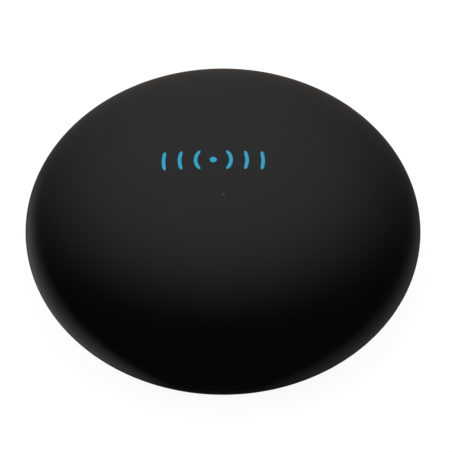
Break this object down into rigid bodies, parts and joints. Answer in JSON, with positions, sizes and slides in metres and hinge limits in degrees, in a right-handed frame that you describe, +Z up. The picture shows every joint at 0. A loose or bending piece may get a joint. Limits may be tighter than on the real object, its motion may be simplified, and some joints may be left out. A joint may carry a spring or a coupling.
{
  "type": "infrared remote sender",
  "caption": "Round pebble-shaped tabletop infrared sender with a glossy dark cover, a rubber foot ring, a power socket and a reset button at the back.",
  "frame": {"origin": "on the table under the middle of the foot ring", "axes": "+Z up, -Y the front, +Y the power socket at the back"},
  "size_m": [0.07, 0.0695, 0.023],
  "materials": {
    "cover_plastic": "polished, passes infrared",
    "shell_plastic": "fine matt texture",
    "foot_rubber": "matt",
    "screw_steel": "zinc plated",
    "board_laminate": "satin solder resist",
    "emitter_epoxy": "clear, tinted",
    "lead_metal": "tinned",
    "receiver_epoxy": "smooth, dark",
    "radio_laminate": "satin solder resist",
    "shield_metal": "plated",
    "track_copper": "bare copper",
    "socket_metal": "plated",
    "black_plastic": "satin",
    "contact_gold": "plated",
    "button_plastic": "satin",
    "plunger_plastic": "satin",
    "lamp_resin": "clear",
    "guide_acrylic": "clear",
    "can_aluminium": "satin",
    "resistor_ceramic": "satin",
    "capacitor_ceramic": "satin"
  },
  "bodies": {
    "case": {"top_cover": "cover_plastic", "base_shell": "shell_plastic", "foot_ring": "foot_rubber", "usb_shell": "socket_metal", "usb_tongue": "black_plastic", "case_screws": "screw_steel", "board_screws": "screw_steel", "main_board": "board_laminate", "side_emitter_1": "emitter_epoxy", "side_emitter_2": "emitter_epoxy", "side_emitter_3": "emitter_epoxy", "side_emitter_4": "emitter_epoxy", "side_emitter_5": "emitter_epoxy", "side_emitter_6": "emitter_epoxy", "upright_emitter_1": "emitter_epoxy", "upright_emitter_2": "emitter_epoxy", "upright_emitter_3": "emitter_epoxy", "side_emitter_leads": "lead_metal", "upright_emitter_leads": "lead_metal", "ir_receiver_leads": "lead_metal", "switch_legs": "lead_metal", "regulator_leads": "lead_metal", "transistor_leads": "lead_metal", "ir_receiver": "receiver_epoxy", "radio_board": "radio_laminate", "radio_shield": "shield_metal", "switch_cover": "shield_metal", "radio_antenna": "track_copper", "switch_body": "black_plastic", "regulator": "black_plastic", "driver_transistors": "black_plastic", "bulk_capacitor_foot": "black_plastic", "usb_contacts": "contact_gold", "status_lamp": "lamp_resin", "light_guide": "guide_acrylic", "bulk_capacitor": "can_aluminium", "emitter_resistors": "resistor_ceramic", "ceramic_capacitors": "capacitor_ceramic"},
    "reset_button": {"reset_button": "button_plastic"},
    "switch_plunger": {"switch_plunger": "plunger_plastic"}
  },
  "joints": [
    {"name": "reset_press", "type": "slide", "parent": "case", "child": "reset_button", "axis": [-0.454, -0.891, 0], "range_m": [0, 0.0003], "stiffness_N_per_m": 500},
    {"name": "switch_press", "type": "slide", "parent": "case", "child": "switch_plunger", "axis": [-0.454, -0.891, 0], "range_m": [0, 0.0003]}
  ],
  "couplings": [
    {"joint": "switch_press", "follows": "reset_press", "ratio": 1}
  ]
}
